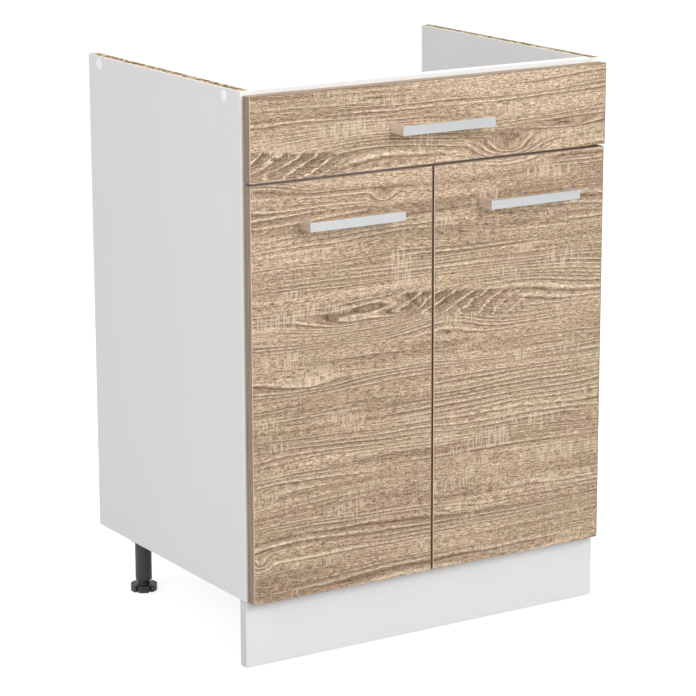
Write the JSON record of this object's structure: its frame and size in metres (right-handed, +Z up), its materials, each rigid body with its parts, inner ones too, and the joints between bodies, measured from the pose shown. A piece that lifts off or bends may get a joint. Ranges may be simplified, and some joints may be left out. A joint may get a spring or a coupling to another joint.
{
  "type": "sink base cabinet",
  "caption": "Open-topped sink base cabinet: white carcass, fixed false front above hinged wood-grain doors, slim bar handles, clip-on plinth and screw feet.",
  "frame": {"origin": "bottom centre of the object's bounding box, on the floor; the handles' bars are its front limit and the side panels' rear edges its rear limit", "axes": "+X to the right of someone facing the doors, +Y from the doors to the wall, +Z up"},
  "size_m": [0.6024, 0.4914, 0.816],
  "materials": {
    "white_board": "white melamine-faced chipboard, satin, raw chipboard on the top edges",
    "oak_board": "matt rough-sawn light oak decor with horizontal grain",
    "satin_silver": "satin silver",
    "black_plastic": "moulded black plastic",
    "white_plastic": "satin white plastic",
    "nickelled_steel": "nickel-plated pressed steel",
    "zinc_steel": "bright zinc-plated steel",
    "clear_rubber": "soft translucent pads"
  },
  "bodies": {
    "carcass": {"left_side_panel": "white_board", "right_side_panel": "white_board", "bottom_panel": "white_board", "front_top_rail": "white_board", "rear_stretcher": "white_board", "cover_cap_left_front": "white_plastic", "cover_cap_left_rear": "white_plastic", "cover_cap_right_front": "white_plastic", "cover_cap_right_rear": "white_plastic", "false_front": "oak_board", "false_front_bracket_left": "zinc_steel", "false_front_bracket_right": "zinc_steel", "handle_false_front": "satin_silver", "handle_screw_false_front_left": "zinc_steel", "handle_screw_false_front_right": "zinc_steel", "leg_front_left": "black_plastic", "leg_front_right": "black_plastic", "leg_rear_left": "black_plastic", "leg_rear_right": "black_plastic", "hinge_arm_left_upper": "nickelled_steel", "hinge_arm_left_lower": "nickelled_steel", "hinge_arm_right_upper": "nickelled_steel", "hinge_arm_right_lower": "nickelled_steel", "hinge_plate_left_upper": "nickelled_steel", "hinge_plate_left_lower": "nickelled_steel", "hinge_plate_right_upper": "nickelled_steel", "hinge_plate_right_lower": "nickelled_steel"},
    "left_hinge_links": {"hinge_link_left_upper": "nickelled_steel", "hinge_link_left_lower": "nickelled_steel"},
    "left_door": {"left_door": "oak_board", "handle_left_door": "satin_silver", "handle_screw_left_door_left": "zinc_steel", "handle_screw_left_door_right": "zinc_steel", "hinge_cup_left_upper": "nickelled_steel", "hinge_cup_left_lower": "nickelled_steel", "door_bumper_left_upper": "clear_rubber", "door_bumper_left_lower": "clear_rubber"},
    "right_hinge_links": {"hinge_link_right_upper": "nickelled_steel", "hinge_link_right_lower": "nickelled_steel"},
    "right_door": {"right_door": "oak_board", "handle_right_door": "satin_silver", "handle_screw_right_door_left": "zinc_steel", "handle_screw_right_door_right": "zinc_steel", "hinge_cup_right_upper": "nickelled_steel", "hinge_cup_right_lower": "nickelled_steel", "door_bumper_right_upper": "clear_rubber", "door_bumper_right_lower": "clear_rubber"},
    "plinth": {"plinth_board": "white_board", "plinth_clip_left": "black_plastic", "plinth_clip_right": "black_plastic"},
    "foot_front_left": {"foot_front_left": "black_plastic"},
    "foot_front_right": {"foot_front_right": "black_plastic"},
    "foot_rear_left": {"foot_rear_left": "black_plastic"},
    "foot_rear_right": {"foot_rear_right": "black_plastic"}
  },
  "joints": [
    {"name": "left_link_swing", "type": "hinge", "parent": "carcass", "child": "left_hinge_links", "pos_m": [-0.258, -0.18425, 0.3935], "axis": [0, 0, 1], "range_deg": [0, 25.5]},
    {"name": "left_door_swing", "type": "hinge", "parent": "left_hinge_links", "child": "left_door", "pos_m": [-0.2861, -0.19805, 0.3935], "axis": [0, 0, 1], "range_deg": [-117.4, 0]},
    {"name": "right_link_swing", "type": "hinge", "parent": "carcass", "child": "right_hinge_links", "pos_m": [0.258, -0.18425, 0.3935], "axis": [0, 0, 1], "range_deg": [-25.5, 0]},
    {"name": "right_door_swing", "type": "hinge", "parent": "right_hinge_links", "child": "right_door", "pos_m": [0.2861, -0.19805, 0.3935], "axis": [0, 0, 1], "range_deg": [0, 117.4]},
    {"name": "plinth_pull", "type": "slide", "parent": "carcass", "child": "plinth", "axis": [0, -1, 0], "range_m": [0, 0.08]},
    {"name": "foot_front_left_adjust", "type": "slide", "parent": "carcass", "child": "foot_front_left", "axis": [0, 0, -1], "range_m": [-0.005, 0.02]},
    {"name": "foot_front_right_adjust", "type": "slide", "parent": "carcass", "child": "foot_front_right", "axis": [0, 0, -1], "range_m": [-0.005, 0.02]},
    {"name": "foot_rear_left_adjust", "type": "slide", "parent": "carcass", "child": "foot_rear_left", "axis": [0, 0, -1], "range_m": [-0.005, 0.02]},
    {"name": "foot_rear_right_adjust", "type": "slide", "parent": "carcass", "child": "foot_rear_right", "axis": [0, 0, -1], "range_m": [-0.005, 0.02]}
  ],
  "couplings": [
    {"joint": "left_link_swing", "follows": "left_door_swing", "ratio": -0.21635},
    {"joint": "right_link_swing", "follows": "right_door_swing", "ratio": -0.21635}
  ]
}
